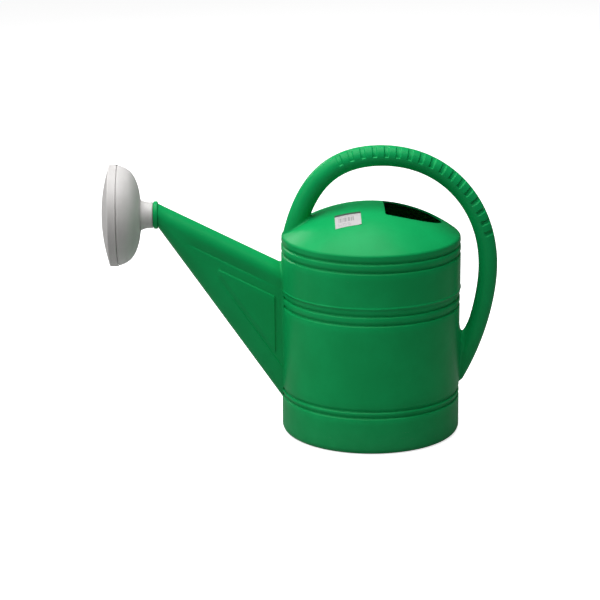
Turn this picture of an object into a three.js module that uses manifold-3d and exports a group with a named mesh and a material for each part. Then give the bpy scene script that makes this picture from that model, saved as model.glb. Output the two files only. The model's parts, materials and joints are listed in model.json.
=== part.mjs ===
// A ten-litre moulded garden watering can with a push-on rose.
// Millimetres, +Z up. The origin is where the tank's axis meets the ground, the spout points along -X
// and the handle comes down behind the tank along +X. The can is symmetric about the plane Y = 0.

import * as THREE from 'three';
import { mergeVertices } from 'three/addons/utils/BufferGeometryUtils.js';
import Module from 'manifold-3d';

const wasm = await Module();
wasm.setup();

// ---------------------------------------------------------------- driving dimensions

// Clearances
const cutGap = 0.3; // between two pieces where one is trimmed to the other
const overcut = 20; // how far a cutting solid runs past what it cuts

// Tank
const tankRadius = 116;
const rimHeight = 262; // where the wall's line and the dome's curve would meet
const wall = 2.2; // moulded wall thickness
const floorThickness = 3;
const baseCornerRadius = 8;
const rimCornerRadius = 6;
const domeRise = 40; // rim to crown
const domeSeamBelowRim = 6; // where the wall piece ends and the domed piece begins

// Hoops pressed into the wall: each is a pair of grooves with a bead left between them
const grooveWidth = 4;
const grooveDepth = 1.2;
const footHoop = { height: 53.6, pitch: 8.4 };
const middleHoop = { belowRim: 84.4, pitch: 11.6 };
const topHoop = { belowRim: 16.0, pitch: 11.8 };
const shoulderBelowRim = 70; // proud edge at the lower end of the upper drum
const shoulderHeight = 3.5;
const shoulderProud = 0.9;

// Filling mouth: an ellipse in plan with its front end cut off square, behind the crown
const mouthCentreX = 37;
const mouthHalfLength = 54;
const mouthHalfWidth = 40.4;
const mouthFrontX = 16.5;
const mouthCornerRadius = 6;

// Spout: a tall fin that tapers to a round nozzle
const spoutLength = 157.9; // tank wall to the fin's tip
const noseAboveRim = 28.5; // axis of the nozzle and the rose, so that a full tank does not overflow
const spoutTopBelowRim = 37.6; // where the top edge meets the wall
const spoutFootHeight = 40.6; // where the bottom edge meets the wall
const spoutRootHalfWidth = 21.5;
const spoutTopRounding = 19; // height of the round back, on each side of its crown
const spoutBottomRounding = 26;
const panelRaise = 1.8; // three-cornered panel that stands proud of each side
const panelBelowTop = 46;
const panelAboveBottom = 57.5;
const panelFromTank = 10;

// Nozzle: the round end that the rose is pushed on to. The fin's tip is a little larger all round.
const nozzleRadius = 14.6;
const nozzleLength = 13.5; // beyond the collar
const nozzleRounding = 1.5;
const collarStep = 3.3; // the collar stands this far out of the nozzle
const collarWidth = 6.9;
const spoutTipHang = 2.6; // the fin's bottom edge runs lower than the nozzle
const spoutTipSideStep = 1.8;

// Rose
const neckBeyondNozzle = 2;
const neckWall = 2; // where the neck grips the nozzle
const neckClearance = 0.2; // radial, neck on nozzle
const neckFlare = 2.8; // wider at the rose's end
const neckFlareStart = 0.62; // share of the neck that flares
const roseRadius = 65.6; // of the face plate
const rimStep = 1; // the housing is this much smaller in radius than the face plate
const roseWall = 2;
const housingDepth = 28.5; // neck to seam
const housingFlatWidth = 10.4; // the housing's back is nearly flat this far round the neck
const housingDish = 0.3; // share of the depth that the middle of the dish takes
const housingDishRadius = 0.7; // share of the radius where the dish turns down
const housingRimRound = 7;
const housingRimDepth = 7; // straight rim behind the seam
const seamGap = 0.6;
const skirtWidth = 11;
const faceBulge = 10;
const plugDepth = 6; // how far the face plate's inner ring reaches into the housing
const plugClearance = 0.3;
const sprayRings = 5;
const sprayMargin = 17.6; // plain edge of the face plate, outside the holes
const holesPerRing = 6; // added with each ring outwards
const sprayHoleRadius = 1.2;
const faceRimCorner = 2;
const pryNotchWidth = 9;
const pryNotchDepth = 1.2;

// Handle: one arched tube in the plane Y = 0, from the dome's front over the mouth to the rear wall
const handleRise = 103.9; // rim to the centre of the arch
const archCrownX = 11.85;
const handleRadius = 13.7; // over the front and the crown
const handleRearRadius = 12.3;
const handGap = 24; // between the tank's wall and the handle behind it
const rearBendBelowRim = 44; // where the handle stands furthest back
const frontRootInset = 15.3; // root's centre inside the wall's line
const frontLean = 0.24; // radians from upright at the front root
const rearRootHeight = 70.7;
const rearRootInset = 6;
const rearLean = 0.52;
const archFullness = 0.59; // pull of the arch's curves, as a share of their span
const rearRootFullness = 0.418;
const rearBendFullness = 0.57;
const grooveCount = 17; // finger grooves over the grip
const firstGrooveAt = 116.8; // along the tube's centreline from the front root
const groovePitch = 14.65;
const fingerGrooveWidth = 6.6;
const fingerGrooveDepth = 1.3;
const gripMargin = 11; // plain tube at each end of the grip piece

// Paper label on the front of the dome
const labelCentreX = -31.5;
const labelCentreY = -46;
const labelWidth = 33;
const labelLength = 34;
const labelThickness = 0.4;

// Facets
const tankSides = 44;
const roseSides = 32;
const nozzleSides = 20;
const handleSides = 12;
const arcSteps = 3;
const finSteps = 5;
const gripSteps = 16;
const frontArmSteps = 9;
const rearArmSteps = 12;
const holeSides = 5;
const halfShare = 0.49; // keeps a sliver of flat between the two rounded edges

// ---------------------------------------------------------------- worked-out values

const spoutTipAbove = nozzleRadius;
const spoutTipBelow = nozzleRadius + spoutTipHang;
const spoutTipHalfWidth = nozzleRadius + spoutTipSideStep;
const spoutFlankHalfWidth = spoutRootHalfWidth - panelRaise;
const collarRadius = nozzleRadius + collarStep;
const nozzleBore = nozzleRadius - wall;
const neckLength = nozzleLength + neckBeyondNozzle;
const neckCollarEndRadius = nozzleRadius + neckClearance + neckWall;
const neckRoseEndRadius = neckCollarEndRadius + neckFlare;
const housingFlatRadius = neckRoseEndRadius + housingFlatWidth;
const sprayRingPitch = (roseRadius - sprayMargin) / sprayRings;
const domeRadius = (tankRadius ** 2 + domeRise ** 2) / (2 * domeRise);
const domeCentre = rimHeight + domeRise - domeRadius;
const crownHeight = rimHeight + domeRise;
const wallFoot = floorThickness + cutGap;
const domeSplit = rimHeight - domeSeamBelowRim;
const noseHeight = rimHeight + noseAboveRim;
const spoutTip = -(tankRadius + spoutLength);
const spoutTopSlope = (noseAboveRim + spoutTipAbove + spoutTopBelowRim) / spoutLength;
const spoutBottomSlope = (noseHeight - spoutTipBelow - spoutFootHeight) / spoutLength;
const collarFace = spoutTip - collarWidth;
const neckEnd = collarFace - cutGap - neckLength;
const housingBack = neckEnd - cutGap;
const seam = housingBack - housingDepth;
const faceBack = seam - seamGap;
const housingRadius = roseRadius - rimStep;
const handleCrown = rimHeight + handleRise;

// ---------------------------------------------------------------- materials

const green = { color: 0x12a352, roughness: 0.42, metalness: 0 };
const canPlastic = new THREE.MeshStandardMaterial(green);
const rosePlastic = new THREE.MeshStandardMaterial({ color: 0xb4b1ae, roughness: 0.6, metalness: 0 });
const labelPaper = new THREE.MeshStandardMaterial({ color: 0xe9e6e2, roughness: 0.8, metalness: 0 });

// ---------------------------------------------------------------- solids

// Turns a closed geometry into a solid that can be cut and joined.
function solidOf(geometry) {
  const bare = geometry.clone();
  bare.deleteAttribute('normal');
  bare.deleteAttribute('uv');
  const merged = mergeVertices(bare, 1e-3);
  const corners = [];
  for (let i = 0; i < merged.index.count; i += 3) {
    const triangle = [0, 1, 2].map((k) => merged.index.getX(i + k));
    if (new Set(triangle).size === 3) corners.push(...triangle);
  }
  const mesh = new wasm.Mesh({
    numProp: 3,
    vertProperties: new Float32Array(merged.attributes.position.array),
    triVerts: new Uint32Array(corners),
  });
  return new wasm.Manifold(mesh);
}

// Turns a solid back into a geometry.
function geometryOf(solid) {
  const mesh = solid.getMesh();
  const geometry = new THREE.BufferGeometry();
  geometry.setAttribute('position', new THREE.BufferAttribute(mesh.vertProperties, 3));
  geometry.setIndex(new THREE.BufferAttribute(mesh.triVerts, 1));
  geometry.computeVertexNormals();
  return geometry;
}

// Revolves a closed profile of (radius, height) about +Z.
function turned(profile, sides) {
  const points = profile.getPoints(arcSteps);
  return solidOf(new THREE.LatheGeometry(points, sides).rotateX(Math.PI / 2));
}

// Revolves a closed profile of (radius, distance) about the nozzle's axis, distances running along +X.
function turnedOnNose(profile, sides) {
  const points = profile.getPoints(arcSteps);
  const geometry = new THREE.LatheGeometry(points, sides);
  return solidOf(geometry.rotateZ(-Math.PI / 2).translate(0, 0, noseHeight));
}

// Extrudes a unit section in equal steps and moves each point (u, v, share of the way) to its place.
function lofted(section, steps, place) {
  const options = { depth: 1, steps, bevelEnabled: false, curveSegments: arcSteps };
  const geometry = new THREE.ExtrudeGeometry(section, options);
  const position = geometry.attributes.position;
  const point = new THREE.Vector3();
  for (let i = 0; i < position.count; i += 1) {
    point.fromBufferAttribute(position, i);
    place(point);
    position.setXYZ(i, point.x, point.y, point.z);
  }
  return solidOf(geometry);
}

// A prism of an outline drawn in plan, from one height to another.
function uprightPrism(outline, low, high) {
  const geometry = new THREE.ExtrudeGeometry(outline, { depth: high - low, bevelEnabled: false });
  return solidOf(geometry.translate(0, 0, low));
}

// ---------------------------------------------------------------- tank

// Adds one groove to a wall profile that is being drawn upwards.
function drawGroove(profile, radius, height) {
  profile.lineTo(radius, height - grooveWidth / 2);
  profile.lineTo(radius - grooveDepth, height - grooveWidth / 5);
  profile.lineTo(radius - grooveDepth, height + grooveWidth / 5);
  profile.lineTo(radius, height + grooveWidth / 2);
}

function drawHoop(profile, radius, height, pitch) {
  drawGroove(profile, radius, height - pitch / 2);
  drawGroove(profile, radius, height + pitch / 2);
}

// The height of the floor's top on the outer corner, as an angle from the corner's bottom.
const floorCornerAngle = Math.acos(1 - floorThickness / baseCornerRadius);
const wallCornerAngle = Math.acos(1 - wallFoot / baseCornerRadius);

// The flat floor with the lower part of the rounded bottom edge.
function makeTankBase() {
  const corner = tankRadius - baseCornerRadius;
  const profile = new THREE.Path().moveTo(0, 0);
  profile.lineTo(corner, 0);
  const floorAngle = floorCornerAngle - Math.PI / 2;
  profile.absarc(corner, baseCornerRadius, baseCornerRadius, -Math.PI / 2, floorAngle, false);
  profile.lineTo(0, floorThickness);
  return turned(profile, tankSides);
}

// Draws the proud shoulder over the middle hoop, upwards, on a wall of some radius.
function drawShoulder(profile, radius) {
  const shoulder = rimHeight - shoulderBelowRim;
  profile.lineTo(radius, shoulder - shoulderHeight / 2);
  profile.lineTo(radius + shoulderProud, shoulder);
  profile.lineTo(radius, shoulder + shoulderHeight);
}

// The drum's wall from the floor up, with its three hoops and the shoulder.
function makeTankWall() {
  const corner = tankRadius - baseCornerRadius;
  const innerCorner = baseCornerRadius - wall;
  const footRadius = corner + baseCornerRadius * Math.sin(wallCornerAngle);
  const profile = new THREE.Path().moveTo(footRadius, wallFoot);
  profile.absarc(corner, baseCornerRadius, baseCornerRadius, wallCornerAngle - Math.PI / 2, 0, false);
  drawHoop(profile, tankRadius, footHoop.height, footHoop.pitch);
  drawHoop(profile, tankRadius, rimHeight - middleHoop.belowRim, middleHoop.pitch);
  drawShoulder(profile, tankRadius);
  drawHoop(profile, tankRadius, rimHeight - topHoop.belowRim, topHoop.pitch);
  profile.lineTo(tankRadius, domeSplit);
  profile.lineTo(tankRadius - wall, domeSplit);
  profile.lineTo(tankRadius - wall, wallFoot + innerCorner);
  profile.absarc(corner, wallFoot + innerCorner, innerCorner, 0, -Math.PI / 2, true);
  profile.closePath();
  return turned(profile, tankSides).subtract(makeSpoutPassage());
}

// Draws the dome's section from the wall, round the rim's corner and up to the axis, grown by some amount.
function drawDome(profile, growth, upwards) {
  const corner = rimCornerRadius + growth;
  const across = tankRadius - rimCornerRadius;
  const rise = Math.sqrt((domeRadius - rimCornerRadius) ** 2 - across ** 2);
  const lean = Math.atan2(rise, across);
  const cap = domeRadius + growth;
  if (upwards) {
    profile.absarc(across, domeCentre + rise, corner, 0, lean, false);
    profile.absarc(0, domeCentre, cap, lean, Math.PI / 2, false);
  } else {
    profile.absarc(0, domeCentre, cap, Math.PI / 2, lean, true);
    profile.absarc(across, domeCentre + rise, corner, lean, 0, true);
  }
}

// Everything inside the tank's outer surface, grown by some amount, for trimming what meets it.
function makeTankEnvelope(growth) {
  const profile = new THREE.Path().moveTo(0, -growth);
  profile.lineTo(tankRadius + growth, -growth);
  drawShoulder(profile, tankRadius + growth);
  drawDome(profile, growth, true);
  return turned(profile, tankSides);
}

function makeMouthCutter() {
  const cornerShare = (mouthFrontX - mouthCentreX) / mouthHalfLength;
  const frontHalfWidth = mouthHalfWidth * Math.sqrt(1 - cornerShare ** 2) - mouthCornerRadius;
  const startX = mouthFrontX + mouthCornerRadius;
  const startAngle = Math.acos((startX - mouthCentreX) / mouthHalfLength);
  const outline = new THREE.Shape();
  outline.moveTo(mouthFrontX, -frontHalfWidth);
  outline.lineTo(startX, -mouthHalfWidth * Math.sin(startAngle));
  outline.absellipse(mouthCentreX, 0, mouthHalfLength, mouthHalfWidth, -startAngle, startAngle, false);
  outline.lineTo(mouthFrontX, frontHalfWidth);
  outline.closePath();
  return uprightPrism(outline, rimHeight - overcut, crownHeight + overcut);
}

// The domed top with the filling mouth cut through it.
function makeDomedTop() {
  const profile = new THREE.Path().moveTo(tankRadius - wall, domeSplit);
  profile.lineTo(tankRadius, domeSplit);
  drawDome(profile, 0, true);
  drawDome(profile, -wall, false);
  profile.closePath();
  return turned(profile, tankSides).subtract(makeMouthCutter());
}

// A small sheet that follows the dome.
function makeLabel() {
  const sheet = makeTankEnvelope(cutGap + labelThickness).subtract(makeTankEnvelope(cutGap));
  const blank = new THREE.BoxGeometry(labelWidth, labelLength, 2 * domeRise);
  return sheet.intersect(solidOf(blank.translate(labelCentreX, labelCentreY, crownHeight)));
}

// ---------------------------------------------------------------- spout

// A stadium with unit rounds at both ends, centred on straight sides two units long.
function stadium() {
  const section = new THREE.Shape();
  section.absarc(0, 1, 1, 0, Math.PI, false);
  section.absarc(0, -1, 1, Math.PI, 2 * Math.PI, false);
  section.closePath();
  return section;
}

// The fin between two distances along X, drawn in by an inset all round.
function makeFin(fromX, toX, inset) {
  const topInset = inset * Math.hypot(1, spoutTopSlope);
  const bottomInset = inset * Math.hypot(1, spoutBottomSlope);
  return lofted(stadium(), finSteps, (point) => {
    const x = THREE.MathUtils.lerp(fromX, toX, point.z);
    const along = x - spoutTip;
    const top = noseHeight + spoutTipAbove - spoutTopSlope * along - topInset;
    const bottom = noseHeight - spoutTipBelow - spoutBottomSlope * along + bottomInset;
    const middle = (top - bottom) * halfShare;
    const topRound = Math.min(spoutTopRounding, middle);
    const bottomRound = Math.min(spoutBottomRounding, middle);
    const share = along / spoutLength;
    const halfWidth = THREE.MathUtils.lerp(spoutTipHalfWidth, spoutFlankHalfWidth, share) - inset;
    const z = point.y > 0 ? top + (point.y - 2) * topRound : bottom + (point.y + 2) * bottomRound;
    point.set(x, point.x * halfWidth, z);
  });
}

// The raised three-cornered panels of both flanks, as one prism right through the fin.
function makePanels() {
  const rear = -tankRadius - panelFromTank;
  const topAt = (x) => noseHeight + spoutTipAbove - spoutTopSlope * (x - spoutTip) - panelBelowTop;
  const bottomAt = (x) => noseHeight - spoutTipBelow - spoutBottomSlope * (x - spoutTip) + panelAboveBottom;
  const front = rear - (topAt(rear) - bottomAt(rear)) / (spoutBottomSlope - spoutTopSlope);
  const outline = new THREE.Shape();
  outline.moveTo(front, topAt(front));
  outline.lineTo(rear, bottomAt(rear));
  outline.lineTo(rear, topAt(rear));
  outline.closePath();
  const depth = 2 * spoutRootHalfWidth;
  const geometry = new THREE.ExtrudeGeometry(outline, { depth, bevelEnabled: false });
  return solidOf(geometry.rotateX(Math.PI / 2).translate(0, spoutRootHalfWidth, 0));
}

// The water's way through the fin, from the nozzle into the tank.
function makeSpoutPassage() {
  return makeFin(spoutTip - cutGap, -tankRadius + overcut, wall);
}

function makeSpout() {
  const fin = makeFin(spoutTip, -tankRadius + overcut, 0).add(makePanels());
  return fin.subtract(makeSpoutPassage()).subtract(makeTankEnvelope(cutGap));
}

// Collar and nozzle, closing the fin's tip round the bore.
function makeNozzle() {
  const end = collarFace - nozzleLength;
  const root = spoutTip - cutGap;
  const profile = new THREE.Path().moveTo(nozzleBore, root);
  profile.lineTo(nozzleBore, end);
  profile.lineTo(nozzleRadius - nozzleRounding, end);
  profile.lineTo(nozzleRadius, end + 2 * nozzleRounding);
  profile.lineTo(nozzleRadius, collarFace);
  const edge = collarRadius - nozzleRounding;
  profile.absarc(edge, collarFace + nozzleRounding, nozzleRounding, -Math.PI / 2, 0, false);
  profile.absarc(edge, root - nozzleRounding, nozzleRounding, 0, Math.PI / 2, false);
  profile.closePath();
  return turnedOnNose(profile, nozzleSides);
}

// ---------------------------------------------------------------- rose

// The neck that is pushed over the nozzle up to the collar.
function makeRoseNeck() {
  const start = collarFace - cutGap;
  const bore = nozzleRadius + neckClearance;
  const profile = new THREE.Path().moveTo(bore, start);
  profile.lineTo(bore, neckEnd);
  profile.lineTo(neckRoseEndRadius, neckEnd);
  profile.lineTo(neckCollarEndRadius, THREE.MathUtils.lerp(neckEnd, start, neckFlareStart));
  profile.lineTo(neckCollarEndRadius, start);
  profile.closePath();
  return turnedOnNose(profile, nozzleSides);
}

// The dished back of the rose.
function makeRoseHousing() {
  const bore = neckCollarEndRadius - neckWall;
  const rimInner = housingRadius - roseWall;
  const rimStart = seam + housingRimDepth;
  const shoulder = housingBack - housingDish * (housingDepth - housingRimDepth);
  const dish = housingDishRadius * housingRadius;
  const profile = new THREE.Path().moveTo(bore, housingBack);
  profile.lineTo(bore, housingBack - roseWall);
  profile.quadraticCurveTo(housingFlatRadius, housingBack - roseWall, dish - roseWall, shoulder - roseWall);
  profile.quadraticCurveTo(rimInner, rimStart + housingRimRound - roseWall, rimInner, rimStart - roseWall);
  profile.lineTo(rimInner, seam);
  profile.lineTo(housingRadius, seam);
  profile.lineTo(housingRadius, rimStart);
  profile.quadraticCurveTo(housingRadius, rimStart + housingRimRound, dish, shoulder);
  profile.quadraticCurveTo(housingFlatRadius, housingBack, neckRoseEndRadius, housingBack);
  profile.closePath();
  return turnedOnNose(profile, roseSides);
}

// The spray holes, in rings about the nose axis.
function makeSprayHoles() {
  let holes = null;
  for (let ring = 0; ring <= sprayRings; ring += 1) {
    const count = Math.max(1, ring * holesPerRing);
    for (let k = 0; k < count; k += 1) {
      const angle = ((k + 0.5 * (ring % 2)) / count) * 2 * Math.PI;
      const radius = ring * sprayRingPitch;
      const pin = new THREE.CylinderGeometry(sprayHoleRadius, sprayHoleRadius, 4 * overcut, holeSides);
      pin.rotateZ(Math.PI / 2);
      pin.translate(faceBack - skirtWidth, radius * Math.cos(angle), noseHeight + radius * Math.sin(angle));
      holes = holes ? holes.add(solidOf(pin)) : solidOf(pin);
    }
  }
  return holes;
}

// The perforated face plate with its skirt and the ring that plugs into the housing.
function makeRoseFace() {
  const front = faceBack - skirtWidth;
  const span = roseRadius - faceRimCorner;
  const bulgeRadius = (span ** 2 + faceBulge ** 2) / (2 * faceBulge);
  const bulgeCentre = front - faceBulge + bulgeRadius;
  const halfAngle = Math.asin(span / bulgeRadius);
  const plugRadius = housingRadius - roseWall - plugClearance;
  const innerRadius = bulgeRadius - roseWall;
  const innerAngle = Math.asin((plugRadius - roseWall) / innerRadius);
  const profile = new THREE.Path().moveTo(0, front - faceBulge);
  profile.absarc(0, bulgeCentre, bulgeRadius, -Math.PI / 2, -Math.PI / 2 + halfAngle, false);
  profile.lineTo(roseRadius, front + faceRimCorner);
  profile.lineTo(roseRadius, faceBack);
  profile.lineTo(plugRadius, faceBack);
  profile.lineTo(plugRadius, faceBack + plugDepth);
  profile.lineTo(plugRadius - roseWall, faceBack + plugDepth);
  profile.absarc(0, bulgeCentre, innerRadius, -Math.PI / 2 + innerAngle, -Math.PI / 2, true);
  let face = turnedOnNose(profile, roseSides).subtract(makeSprayHoles());
  for (const side of [-1, 1]) {
    const notch = new THREE.BoxGeometry(2 * pryNotchDepth, pryNotchWidth, 2 * pryNotchDepth);
    face = face.subtract(solidOf(notch.translate(faceBack, 0, noseHeight + side * roseRadius)));
  }
  return face;
}

// ---------------------------------------------------------------- handle

// The arch's centreline in the plane Y = 0, drawn as (x, z).
function makeHandlePath() {
  const front = new THREE.Vector2(-tankRadius + frontRootInset, rimHeight);
  const crown = new THREE.Vector2(archCrownX, handleCrown);
  const back = new THREE.Vector2(tankRadius + handGap + handleRearRadius, rimHeight - rearBendBelowRim);
  const root = new THREE.Vector2(tankRadius - rearRootInset, rearRootHeight);
  const frontPull = archFullness * (crown.x - front.x);
  const backPull = archFullness * (back.x - crown.x);
  const rootPull = rearRootFullness * (back.y - root.y);
  const path = new THREE.Path().moveTo(front.x, front.y);
  path.bezierCurveTo(
    front.x + frontPull * Math.sin(frontLean),
    front.y + frontPull * Math.cos(frontLean),
    crown.x - frontPull,
    crown.y,
    crown.x,
    crown.y,
  );
  path.bezierCurveTo(crown.x + backPull, crown.y, back.x, back.y + backPull, back.x, back.y);
  path.bezierCurveTo(
    back.x,
    back.y - rearBendFullness * rootPull,
    root.x + rootPull * Math.sin(rearLean),
    root.y + rootPull * Math.cos(rearLean),
    root.x,
    root.y,
  );
  return path;
}

const handlePath = makeHandlePath();
const handleLength = handlePath.getLength();
const lastGrooveAt = firstGrooveAt + (grooveCount - 1) * groovePitch;
const gripStart = firstGrooveAt - gripMargin;
const gripEnd = lastGrooveAt + gripMargin;

// The tube's outer radius at a length along its centreline.
function handleRadiusAt(length) {
  const taper = THREE.MathUtils.smoothstep(length, gripStart, gripEnd);
  return THREE.MathUtils.lerp(handleRadius, handleRearRadius, taper);
}

// Moves a point (u across, v outwards, in units of the radius) to a length along the handle.
function placeOnHandle(point, length, radius) {
  const share = THREE.MathUtils.clamp(length / handleLength, 0, 1);
  const centre = handlePath.getPointAt(share);
  const tangent = handlePath.getTangentAt(share);
  const out = point.y * radius;
  point.set(centre.x - tangent.y * out, point.x * radius, centre.y + tangent.x * out);
}

// A stretch of the tube, solid, drawn in by an inset.
function makeTube(from, to, steps, inset) {
  const ring = new THREE.Shape();
  const circle = new THREE.EllipseCurve(0, 0, 1, 1, 0, 2 * Math.PI, false, 0);
  ring.setFromPoints(circle.getPoints(handleSides).slice(0, handleSides));
  return lofted(ring, steps, (point) => {
    const length = THREE.MathUtils.lerp(from, to, point.z);
    placeOnHandle(point, length, handleRadiusAt(length) - inset);
  });
}

function makeHollowTube(from, to, steps) {
  const bore = makeTube(from - cutGap, to + cutGap, steps, wall);
  return makeTube(from, to, steps, 0).subtract(bore);
}

// One finger groove: a short half ring over the outer side of the tube.
function makeGrooveCutter(at) {
  const radius = handleRadiusAt(at);
  const floor = 1 - fingerGrooveDepth / radius;
  const ring = new THREE.Shape();
  const circle = new THREE.EllipseCurve(0, 0, floor, floor, Math.PI, 0, true, 0);
  ring.setFromPoints([
    new THREE.Vector2(1.3, 0),
    new THREE.Vector2(1.3, 1.4),
    new THREE.Vector2(-1.3, 1.4),
    new THREE.Vector2(-1.3, 0),
    ...circle.getPoints(handleSides / 2),
  ]);
  return lofted(ring, 1, (point) => {
    placeOnHandle(point, at + (point.z - 0.5) * fingerGrooveWidth, radius);
  });
}

function makeHandleGrip() {
  let grip = makeHollowTube(gripStart, gripEnd, gripSteps);
  for (let k = 0; k < grooveCount; k += 1) {
    grip = grip.subtract(makeGrooveCutter(firstGrooveAt + k * groovePitch));
  }
  return grip;
}

function makeHandleFrontArm() {
  return makeHollowTube(0, gripStart - cutGap, frontArmSteps).subtract(makeTankEnvelope(cutGap));
}

function makeHandleRearArm() {
  return makeHollowTube(gripEnd + cutGap, handleLength, rearArmSteps).subtract(makeTankEnvelope(cutGap));
}

// ---------------------------------------------------------------- assembly

function piece(name, solid, material) {
  const mesh = new THREE.Mesh(geometryOf(solid), material);
  mesh.name = name;
  return mesh;
}

const can = new THREE.Group();
can.add(piece('tank_base', makeTankBase(), canPlastic));
can.add(piece('tank_wall', makeTankWall(), canPlastic));
can.add(piece('domed_top', makeDomedTop(), canPlastic));
can.add(piece('spout', makeSpout(), canPlastic));
can.add(piece('spout_nozzle', makeNozzle(), canPlastic));
can.add(piece('handle_front_arm', makeHandleFrontArm(), canPlastic));
can.add(piece('handle_grip', makeHandleGrip(), canPlastic));
can.add(piece('handle_rear_arm', makeHandleRearArm(), canPlastic));
can.add(piece('paper_label', makeLabel(), labelPaper));

const rose = new THREE.Group();
rose.add(piece('rose_neck', makeRoseNeck(), rosePlastic));
rose.add(piece('rose_housing', makeRoseHousing(), rosePlastic));
rose.add(piece('rose_face', makeRoseFace(), rosePlastic));

const wateringCan = new THREE.Group();
wateringCan.add(can, rose);

export default wateringCan;
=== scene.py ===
import json
import logging
import math
from contextlib import contextmanager
from dataclasses import dataclass, field
from enum import Enum
from typing import Callable, Iterator, Sequence

import bpy
import numpy as np
from mathutils import Matrix, Vector

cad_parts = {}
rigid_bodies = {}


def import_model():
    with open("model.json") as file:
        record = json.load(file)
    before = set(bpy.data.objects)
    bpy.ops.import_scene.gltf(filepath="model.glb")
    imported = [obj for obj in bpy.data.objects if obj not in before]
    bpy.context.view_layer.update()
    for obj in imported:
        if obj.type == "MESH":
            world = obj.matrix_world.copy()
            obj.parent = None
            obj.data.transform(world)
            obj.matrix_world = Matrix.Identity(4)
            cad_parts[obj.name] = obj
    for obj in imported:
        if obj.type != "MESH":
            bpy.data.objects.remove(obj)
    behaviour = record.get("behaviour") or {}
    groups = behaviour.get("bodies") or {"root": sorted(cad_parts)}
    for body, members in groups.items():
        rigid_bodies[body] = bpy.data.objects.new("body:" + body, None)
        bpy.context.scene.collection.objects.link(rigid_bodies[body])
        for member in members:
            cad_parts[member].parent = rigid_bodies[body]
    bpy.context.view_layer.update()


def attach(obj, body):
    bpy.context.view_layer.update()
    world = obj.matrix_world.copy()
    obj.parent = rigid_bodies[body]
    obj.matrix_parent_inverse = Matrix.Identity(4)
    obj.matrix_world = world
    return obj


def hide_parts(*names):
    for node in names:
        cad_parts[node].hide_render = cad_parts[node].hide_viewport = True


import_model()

LOG = logging.getLogger("watering_can")
MM = 0.001
Array = np.ndarray
Pair = tuple[float, float]
Triple = tuple[float, float, float]
Piece = bpy.types.Object
Tree = bpy.types.NodeTree
Socket = bpy.types.NodeSocket


# ---------------------------------------------------------------- modelling helpers


def deselect() -> None:
    """Leaves nothing selected, so that the next operator acts on its own piece only."""
    bpy.ops.object.select_all(action="DESELECT")


def start_piece(name: str, shape: str, **settings: object) -> Piece:
    """Adds a primitive mesh and names it.

    Args:
        name: The piece's name.
        shape: The primitive: circle, plane, grid or cube.
        settings: The primitive's own settings.

    Returns:
        The object.
    """
    deselect()
    getattr(bpy.ops.mesh, f"primitive_{shape}_add")(**settings)
    piece = bpy.context.active_object
    piece.name = name
    piece.data.name = name
    return piece


def focus(piece: Piece) -> None:
    """Makes a piece the only selected and active object."""
    deselect()
    piece.select_set(True)
    bpy.context.view_layer.objects.active = piece


@contextmanager
def editing(everything: bool = True) -> Iterator[None]:
    """Edit mode on the active mesh, with all of it selected where everything is true."""
    bpy.ops.object.mode_set(mode="EDIT")
    if everything:
        bpy.ops.mesh.select_all(action="SELECT")
    yield
    bpy.ops.object.mode_set(mode="OBJECT")


def place_points(piece: Piece, points: Array) -> None:
    """Puts a mesh's vertices where they belong.

    Args:
        piece: The object.
        points: One row of x, y, z per vertex, in millimetres.
    """
    piece.data.vertices.foreach_set("co", (points * MM).astype(np.float32).ravel())
    piece.data.update()


def points_of(piece: Piece) -> Array:
    """The mesh's vertices, one row each, in millimetres."""
    flat = np.zeros(len(piece.data.vertices) * 3, np.float32)
    piece.data.vertices.foreach_get("co", flat)
    return flat.reshape(-1, 3).astype(float) / MM


def facing(piece: Piece) -> float:
    """Above 0 where a closed mesh's faces point outwards, below 0 where they point inwards."""
    piece.data.calc_loop_triangles()
    corners = np.array([triangle.vertices for triangle in piece.data.loop_triangles])
    a, b, c = (points_of(piece)[corners[:, k]] for k in range(3))
    return float((a * np.cross(b, c)).sum())


def seal(piece: Piece, merge: float = 0.01, hollow: bool = False) -> None:
    """Merges doubled vertices and turns every face outwards.

    Args:
        piece: The object.
        merge: Merging distance in millimetres.
        hollow: Whether it is a closed shell, whose inner skin keeps facing the hollow.
    """
    focus(piece)
    with editing():
        bpy.ops.mesh.remove_doubles(threshold=merge * MM)
        if hollow:
            bpy.ops.mesh.delete_loose()
        else:
            bpy.ops.mesh.normals_make_consistent(inside=False)
    if hollow and facing(piece) < 0:
        with editing():
            bpy.ops.mesh.flip_normals()


def smooth(piece: Piece, degrees: float) -> None:
    """Shades a piece smooth, apart from edges sharper than an angle."""
    focus(piece)
    bpy.ops.object.shade_smooth_by_angle(angle=math.radians(degrees))


def finish_with(piece: Piece, kind: str, **settings: object) -> None:
    """Adds one modifier and applies it.

    Args:
        piece: The object.
        kind: The modifier's type.
        settings: Its properties.
    """
    focus(piece)
    modifier = piece.modifiers.new(kind.title(), kind)
    for key, value in settings.items():
        setattr(modifier, key, value)
    bpy.ops.object.modifier_apply(modifier=modifier.name)


def carve(piece: Piece, cutter: Piece) -> None:
    """Cuts one solid out of another and throws the cutter away."""
    finish_with(piece, "BOOLEAN", operation="DIFFERENCE", solver="EXACT", object=cutter)
    bpy.data.objects.remove(cutter)


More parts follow.
